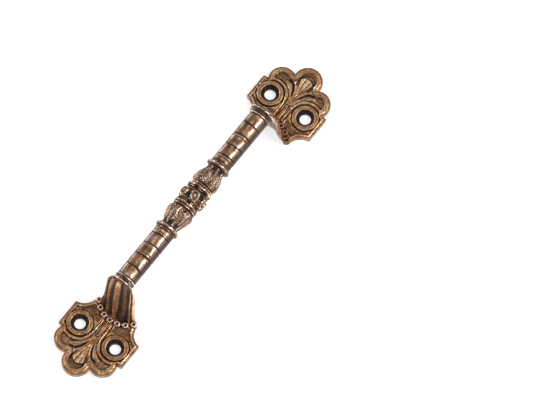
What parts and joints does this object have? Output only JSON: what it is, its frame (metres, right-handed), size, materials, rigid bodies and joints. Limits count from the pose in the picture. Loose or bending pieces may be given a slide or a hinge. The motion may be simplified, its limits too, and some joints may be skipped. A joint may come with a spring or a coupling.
{
  "type": "sash lift handle",
  "caption": "Ornate bronze-finished window sash lift handle: a turned, segmented bar held off the sash by a fluted foot and a lobed, countersunk screw plate at each end.",
  "frame": {"origin": "midway between the two brackets, in the plane of their backs, which is the face of the sash", "axes": "+X along the bar towards the upper bracket, +Y across the handle, +Z away from the sash"},
  "size_m": [0.1576, 0.0306, 0.0305],
  "materials": {
    "cast_bronze": "antique bronze patina on a casting, rubbed bright on the high relief and dark brown in the recesses",
    "turned_bronze": "coppery antique bronze, handled smooth on the drums, with dark joint lines",
    "chased_bronze": "antique bronze in deep relief, rubbed on the leaf edges and near black between them",
    "dark_steel": "dull dark steel, hidden inside"
  },
  "bodies": {
    "root": {"lower_bracket": "cast_bronze", "upper_bracket": "cast_bronze", "lower_ferrule": "turned_bronze", "upper_ferrule": "turned_bronze", "lower_barrel_1": "turned_bronze", "lower_barrel_2": "turned_bronze", "lower_barrel_3": "turned_bronze", "lower_barrel_4": "turned_bronze", "lower_barrel_5": "turned_bronze", "upper_barrel_1": "turned_bronze", "upper_barrel_2": "turned_bronze", "upper_barrel_3": "turned_bronze", "upper_barrel_4": "turned_bronze", "upper_barrel_5": "turned_bronze", "lower_bead_ring": "turned_bronze", "upper_bead_ring": "turned_bronze", "lower_disc": "turned_bronze", "upper_disc": "turned_bronze", "lower_bulb": "chased_bronze", "upper_bulb": "chased_bronze", "centre_knop": "chased_bronze", "tie_rod": "dark_steel", "lower_cross_pin": "dark_steel", "upper_cross_pin": "dark_steel"}
  },
  "joints": []
}
